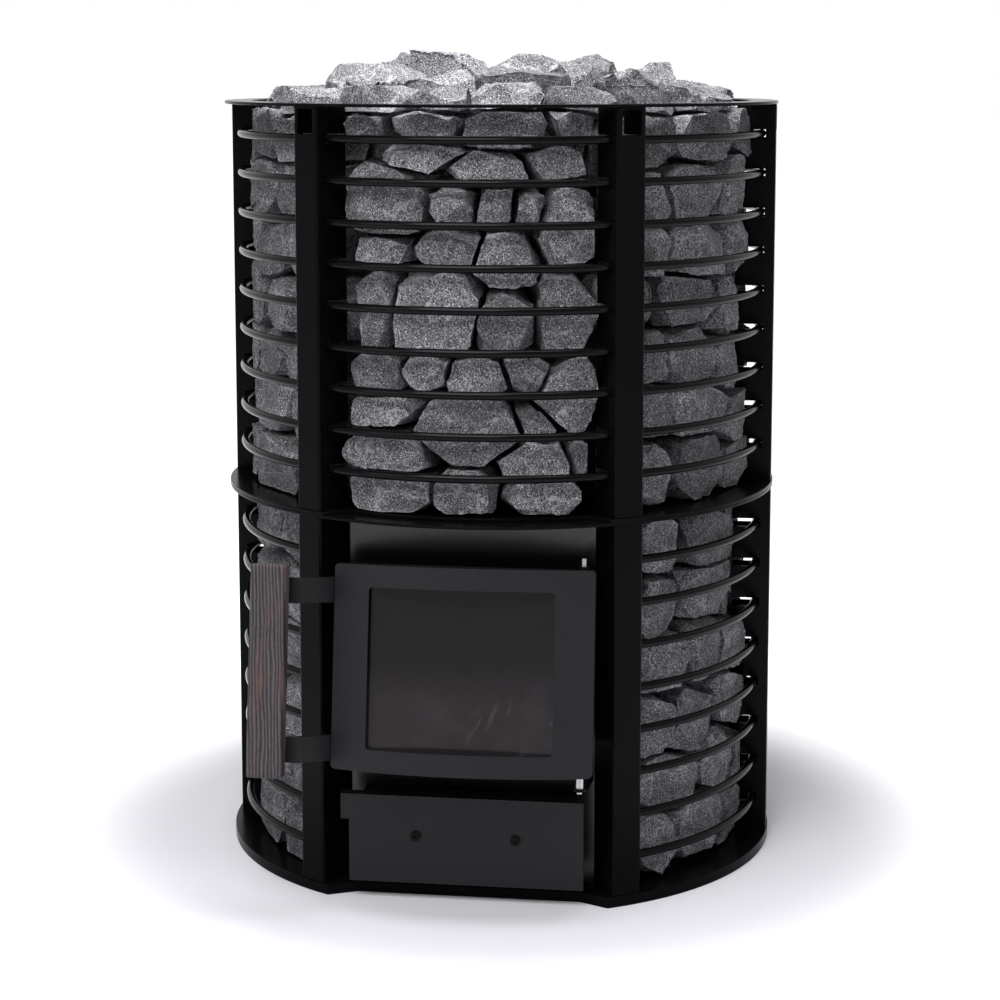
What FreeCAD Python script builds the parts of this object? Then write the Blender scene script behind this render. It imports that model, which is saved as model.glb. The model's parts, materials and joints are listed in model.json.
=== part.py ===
import FreeCAD, Part
import math
import os
import random
import re
from types import SimpleNamespace

import Sketcher
from FreeCAD import Placement, Rotation, Vector

doc = FreeCAD.newDocument("sauna_stove")
sheet = doc.addObject("Spreadsheet::Sheet", "dims")

# Driving dimensions, in millimetres and degrees. The origin is on the floor at the axis of the
# round cage, the door faces -Y, and +X is the hinge side.
sizes = {
    # round plates: base pan, the ring on the lower posts, the stone shelf and the top ring
    "plate_radius": 280.0,
    "base_height": 10.0,
    "base_sheet": 3.0,
    "skirt_wall": 3.0,
    "recess_half_width": 108.0,
    "recess_depth": 49.0,
    "recess_margin": 6.0,
    "ring_sheet": 3.0,
    "lower_ring_width": 34.0,
    "top_ring_width": 27.0,
    "shelf_gap": 4.0,
    "shelf_recess": 24.0,
    "shelf_recess_half_width": 112.0,
    # upright channels of the cage
    "front_post_angle": 33.3,
    "rear_post_angle": 146.0,
    "post_setback": 1.5,
    "post_width": 30.0,
    "post_depth": 39.0,
    "post_sheet": 3.0,
    "post_bend": 2.5,
    "lower_post_length": 360.0,
    "upper_post_length": 381.0,
    "window_width": 20.0,
    "window_height": 24.0,
    "window_below_top": 2.0,
    # hoops that lie in the notches of the posts
    "hoop_setback": 14.5,
    "hoop_rod": 8.0,
    "hoop_play": 0.2,
    "upper_hoop_first": 38.5,
    "upper_hoop_pitch": 39.1,
    "lower_hoop_first": 33.0,
    "lower_hoop_pitch": 41.3,
    "hoop_end_angle": 32.0,
    # levelling feet
    "foot_angle": 52.0,
    "foot_inset": 45.0,
    "foot_pad_radius": 7.0,
    "foot_pad_height": 1.5,
    "foot_thread": 8.0,
    "foot_play": 0.2,
    "foot_nut_radius": 7.0,
    "foot_nut_height": 5.0,
    # firebox drum, its floor, roof and flue collar
    "drum_radius": 172.0,
    "drum_wall": 6.0,
    "drum_height": 460.0,
    "floor_sheet": 4.0,
    "weld_gap": 0.3,
    "roof_sheet": 8.0,
    "flue_bore": 115.0,
    "flue_wall": 4.0,
    "flue_height": 292.0,
    # front shield between the front posts
    "shield_setback": 75.0,
    "shield_sheet": 3.0,
    "shield_lap": 3.0,
    # throat that carries the door
    "throat_half_width": 100.0,
    "throat_wall": 5.0,
    "throat_low": 150.0,
    "throat_height": 164.0,
    "throat_back": 136.0,
    # ash drawer and its channel
    "channel_half_width": 104.0,
    "channel_sheet": 2.0,
    "channel_top": 100.0,
    "channel_setback": 40.0,
    "channel_back": 92.0,
    "channel_roof_back": 136.0,
    "runner_width": 14.0,
    "runner_height": 4.0,
    "slide_play": 0.3,
    "tray_half_width": 101.0,
    "tray_back": 84.0,
    "tray_top": 90.0,
    "tray_sheet": 2.0,
    "drawer_setback": 30.0,
    "drawer_sheet": 3.0,
    "drawer_half_width": 113.0,
    "drawer_low": 18.0,
    "drawer_high": 104.0,
    "drawer_ear_width": 8.0,
    "drawer_ear_height": 25.0,
    "drawer_lip_depth": 10.0,
    "drawer_lip_short": 5.0,
    "drawer_screw_half_span": 48.0,
    "drawer_screw_height": 65.0,
    "screw_head_radius": 4.75,
    "screw_head_height": 2.7,
    "screw_thread": 5.0,
    "screw_length": 9.0,
    "screw_play": 0.1,
    "screw_socket": 1.8,
    # fire bed: support disc, grate, bricks and baffle
    "support_sheet": 6.0,
    "grate_half_width": 98.0,
    "grate_half_depth": 83.0,
    "grate_rest": 10.0,
    "grate_height": 12.0,
    "grate_slot": 8.0,
    "grate_slot_pitch": 18.0,
    "grate_slot_end": 14.0,
    "brick_inner": 112.0,
    "brick_thick": 28.0,
    "brick_half_width": 80.0,
    "brick_height": 274.0,
    "baffle_half_width": 128.0,
    "baffle_half_depth": 90.0,
    "baffle_sheet": 6.0,
    # door, in its own leaning frame: across, out of its flat back, and up
    "door_lean": 9.0,
    "door_setback": 23.0,
    "door_level": 232.0,
    "door_width": 247.0,
    "door_height": 193.0,
    "door_edge": 10.0,
    "door_curve": 280.0,
    "door_sheet": 2.5,
    "door_corner": 4.0,
    "window_opening_width": 176.0,
    "window_opening_height": 152.0,
    "window_opening_corner": 4.0,
    "glass_width": 196.0,
    "glass_height": 172.0,
    "glass_thick": 4.0,
    "glass_play": 0.3,
    "retainer_back": 8.0,
    "retainer_sheet": 4.0,
    "retainer_width": 220.0,
    "retainer_border": 30.0,
    "gasket_width": 10.0,
    "gasket_play": 0.3,
    # hinge
    "hinge_inset": 11.5,
    "hinge_depth": 5.0,
    "pin_diameter": 5.0,
    "pin_play": 0.08,
    "pin_above_lug": 7.5,
    "pin_below_lug": 2.0,
    "lug_sheet": 3.0,
    "lug_eye_radius": 6.0,
    "upper_lug_gap": 0.4,
    "lower_lug_gap": 10.0,
    "spacer_diameter": 7.0,
    # handle
    "strap_height": 24.0,
    "strap_thick": 5.0,
    "strap_offset": 74.5,
    "strap_root": 5.0,
    "strap_reach": 27.0,
    "strap_tail": 38.0,
    "strap_bend": 4.0,
    "grip_width": 34.0,
    "grip_thick": 20.0,
    "grip_length": 199.0,
    "grip_inset": 10.5,
    "grip_drop": 3.0,
    "grip_round": 3.0,
    "grip_screw_span": 16.0,
    "grip_screw_head_radius": 4.0,
    "grip_screw_head_height": 2.5,
    "grip_screw_thread": 4.0,
    "grip_screw_length": 14.0,
    # stones
    "stone_gap": 0.35,
    "stone_cage_gap": 1.2,
    "stone_recess": 6.0,
    "stone_wall_gap": 2.0,
    "stone_rim_gap": 6.0,
    "stone_floor_gap": 0.3,
    "stone_course": 58.0,
    "stone_width": 84.0,
    "stone_core_size": 96.0,
    "stone_heap": 34.0,
    "stone_heap_width": 72.0,
}

for row, (alias, number) in enumerate(sizes.items(), 1):
    sheet.set(f"A{row}", alias)
    sheet.set(f"B{row}", str(number))
    sheet.setAlias(f"B{row}", alias)
doc.recompute()
dim = SimpleNamespace(**{alias: float(sheet.get(alias)) for alias in sizes})

# hoops of each tier: the first above the plate, the step to the next, and how many
upper_rods = ("upper_hoop_first", "upper_hoop_pitch", 9)
lower_rods = ("lower_hoop_first", "lower_hoop_pitch", 8)
nodes = {}


# Formulas: sums of named sizes, each with an optional number in front, such as "0.5*a - b".
def terms(formula):
    found = re.findall(r"([+-]?)\s*(?:([\d.]+)\*)?([a-z_]+)", formula)
    return [((-1 if sign == "-" else 1) * float(factor or 1), alias) for sign, factor, alias in found]


def amount(formula):
    return sum(factor * getattr(dim, alias) for factor, alias in terms(formula))


def times(number, formula):
    products = [(number * factor, alias) for factor, alias in terms(formula)]
    return " ".join(f"{'-' if factor < 0 else '+'} {abs(factor)}*{alias}" for factor, alias in products)


def bound(formula):
    return re.sub(r"([a-z_]+)", r"dims.\1", formula)


# Document objects with their sizes bound to the sheet
def bind(item, **formulas):
    for prop, formula in formulas.items():
        item.setExpression(prop, bound(formula))


def place(item, x, y, z):
    for axis, formula in (("x", x), ("y", y), ("z", z)):
        item.setExpression(f"Placement.Base.{axis}", bound(formula))


def box(name, length, width, height, x="0", y="0", z="0"):
    item = doc.addObject("Part::Box", name)
    bind(item, Length=length, Width=width, Height=height)
    place(item, x, y, z)
    return item


def centred_box(name, half_length, width, height, y, z):
    return box(name, times(2, half_length), width, height, times(-1, half_length), y, z)


def cylinder(name, radius, height, x="0", y="0", z="0"):
    item = doc.addObject("Part::Cylinder", name)
    bind(item, Radius=radius, Height=height)
    place(item, x, y, z)
    return item


def cut(name, base, *tools):
    result = base
    for index, tool in enumerate(tools, 1):
        item = doc.addObject("Part::Cut", f"{name}_cut{index}" if index < len(tools) else name)
        item.Base = result
        item.Tool = tool
        result = item
    return result


def fuse(name, *pieces):
    item = doc.addObject("Part::MultiFuse", name)
    item.Shapes = list(pieces)
    item.Refine = True
    return item


def common(name, first, second):
    item = doc.addObject("Part::MultiCommon", name)
    item.Shapes = [first, second]
    return item


def group(name, pieces):
    item = doc.addObject("Part::Compound", name)
    item.Links = list(pieces)
    return item


def solid_piece(name, shape):
    item = doc.addObject("Part::Feature", name)
    item.Shape = shape
    return item


def rounded(name, item, radius, choose):
    doc.recompute()
    result = doc.addObject("Part::Fillet", name)
    result.Base = item
    picked = [index for index, edge in enumerate(item.Shape.Edges, 1) if choose(edge)]
    result.Edges = [(index, radius, radius) for index in picked]
    return result


def node(item, name):
    item.Label = name
    nodes[name] = item
    return item


def along(axis):
    def choose(edge):
        if len(edge.Vertexes) < 2:
            return False
        direction = edge.Vertexes[1].Point - edge.Vertexes[0].Point
        return abs(direction.normalize().dot(axis)) > 0.999
    return choose


def turned(item, angle):
    item.Placement = Placement(Vector(), Rotation(Vector(0, 0, 1), angle)).multiply(item.Placement)
    return item


# Part design bodies: a closed outline of named corners, padded and pocketed
def outline(body, name, plane, corners):
    sketch = body.newObject("Sketcher::SketchObject", name)
    planes = {feature.Role: feature for feature in body.Origin.OriginFeatures}
    sketch.AttachmentSupport = (planes[plane], [""])
    sketch.MapMode = "FlatFace"
    points = [Vector(amount(x), amount(y), 0) for x, y in corners]
    count = len(points)
    for index in range(count):
        sketch.addGeometry(Part.LineSegment(points[index], points[(index + 1) % count]), False)
    for index in range(count):
        sketch.addConstraint(Sketcher.Constraint("Coincident", index, 2, (index + 1) % count, 1))
    for index, corner in enumerate(corners):
        for kind, formula in zip(("DistanceX", "DistanceY"), corner):
            constraint = Sketcher.Constraint(kind, -1, 1, index, 1, amount(formula))
            number = sketch.addConstraint(constraint)
            sketch.setExpression(f"Constraints[{number}]", bound(formula))
    return sketch


def pad(body, name, sketch, length, both_ways=False):
    feature = body.newObject("PartDesign::Pad", name)
    feature.Profile = sketch
    feature.SideType = "Symmetric" if both_ways else "One side"
    bind(feature, Length=length)
    return feature


def pocket(body, name, sketch, length, both_ways=True, reverse=False):
    feature = body.newObject("PartDesign::Pocket", name)
    feature.Profile = sketch
    feature.SideType = "Symmetric" if both_ways else "One side"
    feature.Reversed = reverse
    bind(feature, Length=length)
    return feature


def repeat(body, name, feature, axis, pitch, count):
    axes = {origin.Role: origin for origin in body.Origin.OriginFeatures}
    pattern = body.newObject("PartDesign::LinearPattern", name)
    pattern.Originals = [feature]
    pattern.Direction = (axes[axis], [""])
    pattern.Occurrences = count
    bind(pattern, Length=f"{count - 1}*{pitch}")
    body.Tip = pattern
    return pattern


def bend_edges(body, name, feature, radius, choose):
    doc.recompute()
    picked = [f"Edge{index}" for index, edge in enumerate(feature.Shape.Edges, 1) if choose(edge)]
    fillet = body.newObject("PartDesign::Fillet", name)
    fillet.Base = (feature, picked)
    bind(fillet, Radius=radius)
    body.Tip = fillet
    return fillet


# Distances from the axis, or out to the front: each is set back from the edge of the round plates
post_face = "plate_radius - post_setback"
hoop_line = f"{post_face} - hoop_setback"
foot_line = "plate_radius - foot_inset"
recess_line = "plate_radius - recess_depth"
shield_line = "plate_radius - shield_setback"
channel_line = "plate_radius - channel_setback"
drawer_line = "plate_radius - drawer_setback"
door_line = "plate_radius - door_setback"

# Levels of the cage, from the floor up
base_top = "base_height"
ring_low = "base_height + lower_post_length"
shelf_low = f"{ring_low} + ring_sheet"
shelf_top = f"{ring_low} + 2*ring_sheet"
top_ring_low = f"{shelf_top} + upper_post_length"
roof_low = f"{base_top} + drum_height"
roof_top = f"{roof_low} + roof_sheet"
support_low = "channel_top"
support_top = "channel_top + support_sheet"


def front_recess(name, front, half_width, height, low="0"):
    # the wedge cut out of a round plate between the front posts, which widens by two for each step out
    item = doc.addObject("Part::Wedge", name)
    rim = "plate_radius + recess_margin"
    wide = f"{half_width} + {times(2, rim)} {times(-2, front)}"
    bind(item, Ymin=times(-1, rim), Ymax=times(-1, front))
    bind(item, Xmin=times(-1, wide), Xmax=wide, X2min=times(-1, half_width), X2max=half_width)
    bind(item, Zmin=low, Zmax=f"{low} + {height}", Z2min=low, Z2max=f"{low} + {height}")
    return item


# Levelling feet: a padded screw that ends flush in the base pan, and its nut under the sheet
feet = (1, 2, 3, 4)
foot_way = "0.5*foot_thread + foot_play"
nut_low = "base_height - base_sheet - foot_nut_height"


def foot_piece(item, number):
    angle = dim.foot_angle if number in (1, 2) else 180 - dim.foot_angle
    return turned(group(f"{item.Name}_turned", [item]), angle if number % 2 else -angle)


def make_base():
    disc = cylinder("base_disc", "plate_radius", "base_height")
    recess = front_recess("base_recess", recess_line, "recess_half_width", "base_height")
    hollow = cylinder("base_hollow", "plate_radius - skirt_wall", "base_height - base_sheet")
    skirt_front = f"{recess_line} - skirt_wall"
    skirt_half = "recess_half_width + skirt_wall"
    keep = front_recess("base_front_skirt", skirt_front, skirt_half, "base_height")
    inside = cut("base_inside", hollow, keep)
    holes = []
    for number in feet:
        hole = cylinder(f"base_hole_{number}", foot_way, "base_height", "0", times(-1, foot_line))
        holes.append(foot_piece(hole, number))
    node(cut("base_plate", disc, recess, inside, group("base_holes", holes)), "base_plate")


def make_feet():
    screws = []
    nuts = []
    for number in feet:
        seat = ("0", times(-1, foot_line))
        pad_disc = cylinder(f"foot_pad_{number}", "foot_pad_radius", "foot_pad_height", *seat)
        length = "base_height - foot_pad_height"
        shank = cylinder(f"foot_shank_{number}", "0.5*foot_thread", length, *seat, "foot_pad_height")
        screws.append(foot_piece(fuse(f"foot_screw_{number}", pad_disc, shank), number))
        hexagon = doc.addObject("Part::Prism", f"foot_hexagon_{number}")
        hexagon.Polygon = 6
        bind(hexagon, Circumradius="foot_nut_radius", Height="foot_nut_height")
        place(hexagon, *seat, nut_low)
        bore = cylinder(f"foot_bore_{number}", foot_way, "foot_nut_height", *seat, nut_low)
        nuts.append(foot_piece(cut(f"foot_nut_{number}", hexagon, bore), number))
    node(group("levelling_screws", screws), "levelling_screws")
    node(group("levelling_nuts", nuts), "levelling_nuts")


# Posts: folded channels, open towards the axis, with notches for the hoops in their flanges
def make_post(name, angle, bottom, length, first, pitch, count, plain_flange=0, window=False):
    body = doc.addObject("PartDesign::Body", name)
    edge, inner = "0.5*post_width", "0.5*post_width - post_sheet"
    web, rim = f"{post_face} - post_sheet", f"{post_face} - post_depth"
    corners = [(edge, post_face), (edge, rim), (inner, rim), (inner, web)]
    mirrored = [(times(-1, x), y) for x, y in reversed(corners)]
    section = [(x, times(-1, y)) for x, y in corners + mirrored]
    sketch = outline(body, f"{name}_section", "XY_Plane", section)
    channel = pad(body, f"{name}_channel", sketch, length)
    upright = along(Vector(0, 0, 1))

    def outer_corner(item):
        middle = item.BoundBox.Center
        return upright(item) and abs(middle.y + amount(post_face)) < 0.01

    bend_edges(body, f"{name}_bends", channel, "post_bend", outer_corner)
    low = f"{first} - 0.5*hoop_rod - hoop_play"
    high = f"{first} + 0.5*hoop_rod + hoop_play"
    deep = times(-1, f"{hoop_line} + 0.5*hoop_rod + hoop_play")
    past = times(-1, f"{post_face} - 2*post_depth")
    slot = outline(body, f"{name}_slot", "YZ_Plane", [(deep, low), (past, low), (past, high), (deep, high)])
    both = plain_flange == 0
    depth = "2*post_width" if both else "post_width"
    notch = pocket(body, f"{name}_notch", slot, depth, both, plain_flange < 0)
    repeat(body, f"{name}_notches", notch, "Z_Axis", pitch, count)
    if window:
        half = "0.5*window_width"
        top = f"{length} - window_below_top"
        sill = f"{top} - window_height"
        frame = [(times(-1, half), sill), (half, sill), (half, top), (times(-1, half), top)]
        hole = outline(body, f"{name}_frame", "XZ_Plane", frame)
        body.Tip = pocket(body, f"{name}_window", hole, f"{times(2, post_face)} + 2*post_width")
    body.Placement = Placement(Vector(0, 0, amount(bottom)), Rotation(Vector(0, 0, 1), angle))
    return node(body, name)


def make_posts():
    angles = {"front_right": dim.front_post_angle, "right": 90, "rear_right": dim.rear_post_angle}
    angles.update({"front_left": -dim.front_post_angle, "left": -90, "rear_left": -dim.rear_post_angle})
    for side, angle in angles.items():
        plain = {"front_right": -1, "front_left": 1}.get(side, 0)
        make_post(f"lower_post_{side}", angle, base_top, "lower_post_length", *lower_rods, plain)
        make_post(f"upper_post_{side}", angle, shelf_top, "upper_post_length", *upper_rods, 0, True)
    return list(angles.values())


def make_ring(name, inner, low):
    disc = cylinder(f"{name}_disc", "plate_radius", "ring_sheet", z=low)
    hole = cylinder(f"{name}_hole", inner, "ring_sheet", z=low)
    return cut(name, disc, hole)


def make_rings():
    node(make_ring("lower_ring", "plate_radius - lower_ring_width", ring_low), "lower_ring")
    node(make_ring("top_ring", "plate_radius - top_ring_width", top_ring_low), "top_ring")
    shelf = make_ring("shelf_blank", "drum_radius + shelf_gap", shelf_low)
    wedge = front_recess("shelf_wedge", recess_line, "shelf_recess_half_width", "ring_sheet", shelf_low)
    arc = cylinder("shelf_arc", "plate_radius - shelf_recess", "ring_sheet", z=shelf_low)
    node(cut("stone_shelf", shelf, cut("shelf_step", wedge, arc)), "stone_shelf")


def make_hoops(name, base, first, pitch, count, gap_angle):
    hoops = []
    for index in range(count):
        hoop = doc.addObject("Part::Torus", f"{name}_{index + 1}")
        bind(hoop, Radius1=hoop_line, Radius2="0.5*hoop_rod")
        hoop.Angle3 = 360 - 2 * gap_angle
        level = amount(base) + amount(first) + index * amount(pitch)
        hoop.Placement = Placement(Vector(0, 0, level), Rotation(Vector(0, 0, 1), gap_angle - 90))
        hoops.append(hoop)
    return node(group(name, hoops), name)


# Firebox: drum, floor, roof and flue collar
past_shield = f"{shield_line} + drum_radius"


def throat_hole(name):
    return centred_box(
        name, "throat_half_width + weld_gap", past_shield, "throat_height + 2*weld_gap",
        times(-1, past_shield), "throat_low - weld_gap")


def channel_hole(name):
    return centred_box(
        name, "channel_half_width + weld_gap", past_shield, "channel_top + weld_gap - base_height",
        times(-1, past_shield), base_top)


def make_firebox():
    outer = cylinder("drum_outer", "drum_radius", "drum_height", z=base_top)
    inner = cylinder("drum_inner", "drum_radius - drum_wall", "drum_height", z=base_top)
    holes = (throat_hole("drum_throat_hole"), channel_hole("drum_channel_hole"))
    node(cut("firebox_drum", outer, inner, *holes), "firebox_drum")
    floor = cylinder("firebox_floor", "drum_radius - drum_wall - weld_gap", "floor_sheet", z=base_top)
    node(floor, "firebox_floor")
    roof = cylinder("roof_disc", "drum_radius", "roof_sheet", z=roof_low)
    roof_hole = cylinder("roof_hole", "0.5*flue_bore", "roof_sheet", z=roof_low)
    node(cut("firebox_roof", roof, roof_hole), "firebox_roof")
    collar = cylinder("collar_outer", "0.5*flue_bore + flue_wall", "flue_height", z=roof_top)
    bore = cylinder("collar_bore", "0.5*flue_bore", "flue_height", z=roof_top)
    node(cut("flue_collar", collar, bore), "flue_collar")


# Front shield: a sheet behind the front posts, with each side lapped by a flange
def make_shield():
    turn = math.radians(dim.front_post_angle)
    flange_end = times(math.sin(turn), f"{post_face} - post_depth")
    half_width = f"{flange_end} {times(-0.5 * math.cos(turn), 'post_width')} + shield_lap"
    plate = centred_box(
        "shield_plate", half_width, "shield_sheet", "lower_post_length", times(-1, shield_line), base_top)
    holes = (throat_hole("shield_throat_hole"), channel_hole("shield_channel_hole"))
    node(cut("front_shield", plate, *holes), "front_shield")


# Door frame of reference: it leans back at the top, so that the door falls shut
door_turn = Rotation(Vector(1, 0, 0), -dim.door_lean)
door_frame = Placement(Vector(0, -amount(door_line), dim.door_level), door_turn)


# The hinge pin's line in that frame, and the radius of the holes that it passes through
pin_x = "0.5*door_width - hinge_inset"
pin_way = "0.5*pin_diameter + pin_play"


def on_door(item):
    item.Placement = door_frame
    return item


def make_throat():
    length = f"{door_line} + door_height - throat_back"
    front = times(-1, f"{door_line} + door_height")
    outer = centred_box("throat_outer", "throat_half_width", length, "throat_height", front, "throat_low")
    inner = centred_box(
        "throat_inner", "throat_half_width - throat_wall", length, "throat_height - 2*throat_wall", front,
        "throat_low + throat_wall")
    ahead = centred_box(
        "throat_ahead", "plate_radius", "plate_radius", "2*plate_radius", "- plate_radius + gasket_play",
        "- plate_radius")
    trim = on_door(group("throat_trim", [ahead]))
    node(cut("door_throat", outer, inner, trim), "door_throat")


# Ash drawer: channel, runners, tray, folded front and its two screws
channel_low = "base_height + floor_sheet"
runner_low = f"{channel_low} + channel_sheet"
tray_low = f"{runner_low} + runner_height + slide_play"


def make_channel():
    length = f"{channel_line} + channel_back"
    height = "channel_top - base_height - floor_sheet"
    front = times(-1, channel_line)
    outer = centred_box("channel_outer", "channel_half_width", length, height, front, channel_low)
    half = "channel_half_width - channel_sheet"
    inside = f"{length} - channel_sheet"
    inner = centred_box("channel_inner", half, inside, f"{height} - 2*channel_sheet", front, runner_low)
    open_length = "channel_roof_back + channel_back - channel_sheet"
    mouth = centred_box(
        "channel_open", half, open_length, "2*channel_sheet", "- channel_roof_back",
        "channel_top - channel_sheet")
    node(cut("drawer_channel", outer, inner, mouth), "drawer_channel")
    runners = []
    for label, x in (("right", "tray_half_width - runner_width"), ("left", "- tray_half_width")):
        runners.append(box(f"runner_{label}", "runner_width", inside, "runner_height", x, front, runner_low))
    node(group("drawer_runners", runners), "drawer_runners")


def screw_seat(side):
    seat = Vector(side * dim.drawer_screw_half_span, -amount(drawer_line), dim.drawer_screw_height)
    return Placement(seat, Rotation(Vector(1, 0, 0), 90))


def make_drawer():
    wall = f"{drawer_line} - drawer_sheet"
    outer = centred_box(
        "tray_outer", "tray_half_width", f"{wall} + tray_back", f"tray_top {times(-1, tray_low)}",
        times(-1, wall), tray_low)
    inner = centred_box(
        "tray_inner", "tray_half_width - tray_sheet", f"{wall} + tray_back - 2*tray_sheet",
        f"tray_top {times(-1, tray_low)}", f"{times(-1, wall)} + tray_sheet", f"{tray_low} + tray_sheet")
    ways = []
    screws = []
    for side, label in ((1, "right"), (-1, "left")):
        way_radius = "0.5*screw_thread + screw_play"
        bore = cylinder(f"screw_bore_{label}", way_radius, "2*screw_length", z="- screw_length")
        way = group(f"screw_way_{label}", [bore])
        way.Placement = screw_seat(side)
        ways.append(way)
        head = cylinder(f"screw_head_{label}", "screw_head_radius", "screw_head_height")
        shank = cylinder(f"screw_shank_{label}", "0.5*screw_thread", "screw_length", z="- screw_length")
        socket = doc.addObject("Part::Prism", f"screw_socket_{label}")
        socket.Polygon = 6
        bind(socket, Circumradius="screw_socket", Height="screw_head_height")
        place(socket, "0", "0", "0.4*screw_head_height")
        screw = cut(f"drawer_screw_{label}", fuse(f"screw_blank_{label}", head, shank), socket)
        screw.Placement = screw_seat(side)
        screws.append(screw)
    holes = group("drawer_screw_ways", ways)
    node(cut("ash_tray", outer, inner, holes), "ash_tray")
    node(group("drawer_screws", screws), "drawer_screws")

    body = doc.addObject("PartDesign::Body", "drawer_plate")
    left, right = "- drawer_half_width", "drawer_half_width"
    low, high = "drawer_low", "drawer_high"
    ear = "- drawer_half_width - drawer_ear_width"
    step = "drawer_high - drawer_ear_height"
    plate = outline(body, "drawer_outline", "XZ_Plane", [
        (left, low), (right, low), (right, high), (ear, high), (ear, step), (left, step)])
    pad(body, "drawer_sheet_pad", plate, "drawer_sheet")
    end = "drawer_half_width - drawer_lip_short"
    under = "drawer_high - drawer_sheet"
    lip = outline(body, "drawer_lip", "XZ_Plane", [(ear, under), (end, under), (end, high), (ear, high)])
    fold = pad(body, "drawer_lip_pad", lip, "drawer_lip_depth")
    fold.Reversed = True
    body.Placement = Placement(Vector(0, -amount(wall), 0), Rotation())
    node(cut("drawer_front", body, holes), "drawer_front")


# Fire bed: support disc on the channel, grate, fire bricks and smoke baffle
def make_fire_bed():
    disc = cylinder("support_disc", "drum_radius - drum_wall - weld_gap", "support_sheet", z=support_low)
    hole = centred_box(
        "support_hole", "grate_half_width - grate_rest", "2*grate_half_depth - 2*grate_rest", "support_sheet",
        "- grate_half_depth + grate_rest", support_low)
    node(cut("grate_support", disc, hole), "grate_support")

    body = doc.addObject("PartDesign::Body", "fire_grate")
    wide, deep = "grate_half_width", "grate_half_depth"
    frame = outline(body, "grate_outline", "XY_Plane", [
        (times(-1, wide), times(-1, deep)), (wide, times(-1, deep)), (wide, deep), (times(-1, wide), deep)])
    pad(body, "grate_pad", frame, "grate_height")
    count = int((2 * dim.grate_half_width - 2 * dim.grate_slot_end) // dim.grate_slot_pitch) + 1
    first = f"- {0.5 * (count - 1)}*grate_slot_pitch"
    near, far = f"{first} - 0.5*grate_slot", f"{first} + 0.5*grate_slot"
    end = "grate_half_depth - grate_slot_end"
    slot = outline(body, "grate_slot_outline", "XY_Plane", [
        (near, times(-1, end)), (far, times(-1, end)), (far, end), (near, end)])
    opening = pocket(body, "grate_slot_cut", slot, "4*grate_height")
    repeat(body, "grate_slots", opening, "X_Axis", "grate_slot_pitch", count)
    body.Placement = Placement(Vector(0, 0, amount(support_top)), Rotation())
    node(body, "fire_grate")

    span, start = "2*brick_half_width", "- brick_half_width"
    side_brick = ("brick_thick", span, "brick_height")
    node(box("brick_right", *side_brick, "brick_inner", start, support_top), "fire_brick_right")
    node(box("brick_left", *side_brick, "- brick_inner - brick_thick", start, support_top), "fire_brick_left")
    rear = box("brick_rear", span, "brick_thick", "brick_height", start, "brick_inner", support_top)
    node(rear, "fire_brick_rear")
    baffle = centred_box(
        "baffle_plate", "baffle_half_width", "2*baffle_half_depth", "baffle_sheet", "- baffle_half_depth",
        f"{support_top} + brick_height")
    node(baffle, "smoke_baffle")


# Door: curved sheet box with a window, glass, retainer and gasket
def curved_block(name, half_width, height, curve, back):
    # a block with a flat back whose front follows the door's curve
    low = times(-0.5, height)
    blank = centred_box(f"{name}_blank", half_width, f"door_width + {back}", height, "- door_width", low)
    front = doc.addObject("Part::Cylinder", f"{name}_curve")
    bind(front, Radius=curve, Height=height)
    reach = math.sqrt(dim.door_curve ** 2 - (0.5 * dim.door_width) ** 2)
    front.Placement = Placement(Vector(0, reach - dim.door_edge, amount(low)), Rotation())
    return common(name, blank, front)


def make_door():
    half = "0.5*door_width"
    outer = curved_block("door_outer", half, "door_height", "door_curve", "0")
    out_of_door = along(Vector(0, 1, 0))
    block = rounded("door_rounded", outer, dim.door_corner, out_of_door)
    cavity = curved_block(
        "door_cavity", f"{half} - door_sheet", "door_height - 2*door_sheet", "door_curve - door_sheet",
        "door_edge")
    sill = "- 0.5*window_opening_height"
    square = centred_box(
        "door_opening_blank", "0.5*window_opening_width", "door_width", "window_opening_height",
        "- door_width", sill)
    opening = rounded("door_opening", square, dim.window_opening_corner, out_of_door)
    bore = cylinder("door_pin_bore", pin_way, "2*door_height", pin_x, "- hinge_depth", "- door_height")
    node(on_door(cut("door_shell", block, cavity, opening, bore)), "door_shell")

    tall = "door_height - 2*door_sheet - 2*weld_gap"
    front = "- retainer_back - retainer_sheet"
    plate = centred_box(
        "retainer_plate", "0.5*retainer_width", "retainer_sheet", tall, front, times(-0.5, tall))
    clear = f"{tall} - 2*retainer_border"
    hole = centred_box(
        "retainer_hole", "0.5*retainer_width - retainer_border", "retainer_sheet", clear, front,
        times(-0.5, clear))
    node(on_door(cut("glass_retainer", plate, hole)), "glass_retainer")
    pane = centred_box(
        "glass_pane", "0.5*glass_width", "glass_thick", "glass_height", f"{front} - glass_play - glass_thick",
        "- 0.5*glass_height")
    node(on_door(group("door_glass", [pane])), "door_glass")

    middle = "throat_half_width - 0.5*throat_wall"
    rise = "0.5*throat_height - 0.5*throat_wall"
    loops = []
    for label, sign in (("outer", "+"), ("inner", "-")):
        reach = f"{rise} {sign} 0.5*gasket_width"
        loops.append(centred_box(
            f"gasket_{label}", f"{middle} {sign} 0.5*gasket_width", "retainer_back", times(2, reach),
            "- retainer_back", times(-1, reach)))
    node(on_door(cut("door_gasket", *loops)), "door_gasket")


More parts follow.
